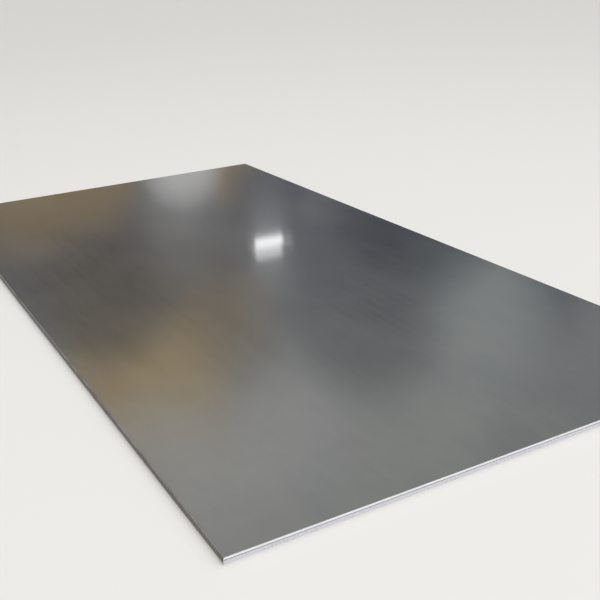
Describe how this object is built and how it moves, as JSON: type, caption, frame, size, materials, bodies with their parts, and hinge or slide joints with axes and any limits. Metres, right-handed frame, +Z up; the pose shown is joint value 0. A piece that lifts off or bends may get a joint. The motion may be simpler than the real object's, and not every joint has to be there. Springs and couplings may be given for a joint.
{
  "type": "steel plate",
  "caption": "Flat rectangular steel plate with rounded mill edges along its long sides and guillotine-sheared ends, for cutting, bending, bolting or welding up.",
  "frame": {"origin": "centre of the underside, on which the plate lies", "axes": "+X across the width to the right, +Y along the length from the front sheared end to the back one, +Z up through the thickness"},
  "size_m": [1.5, 3, 0.018],
  "materials": {
    "rolled_steel": "hot-rolled, smooth dark satin scale, with bright sheared ends"
  },
  "bodies": {
    "root": {"steel_plate": "rolled_steel"}
  },
  "joints": []
}
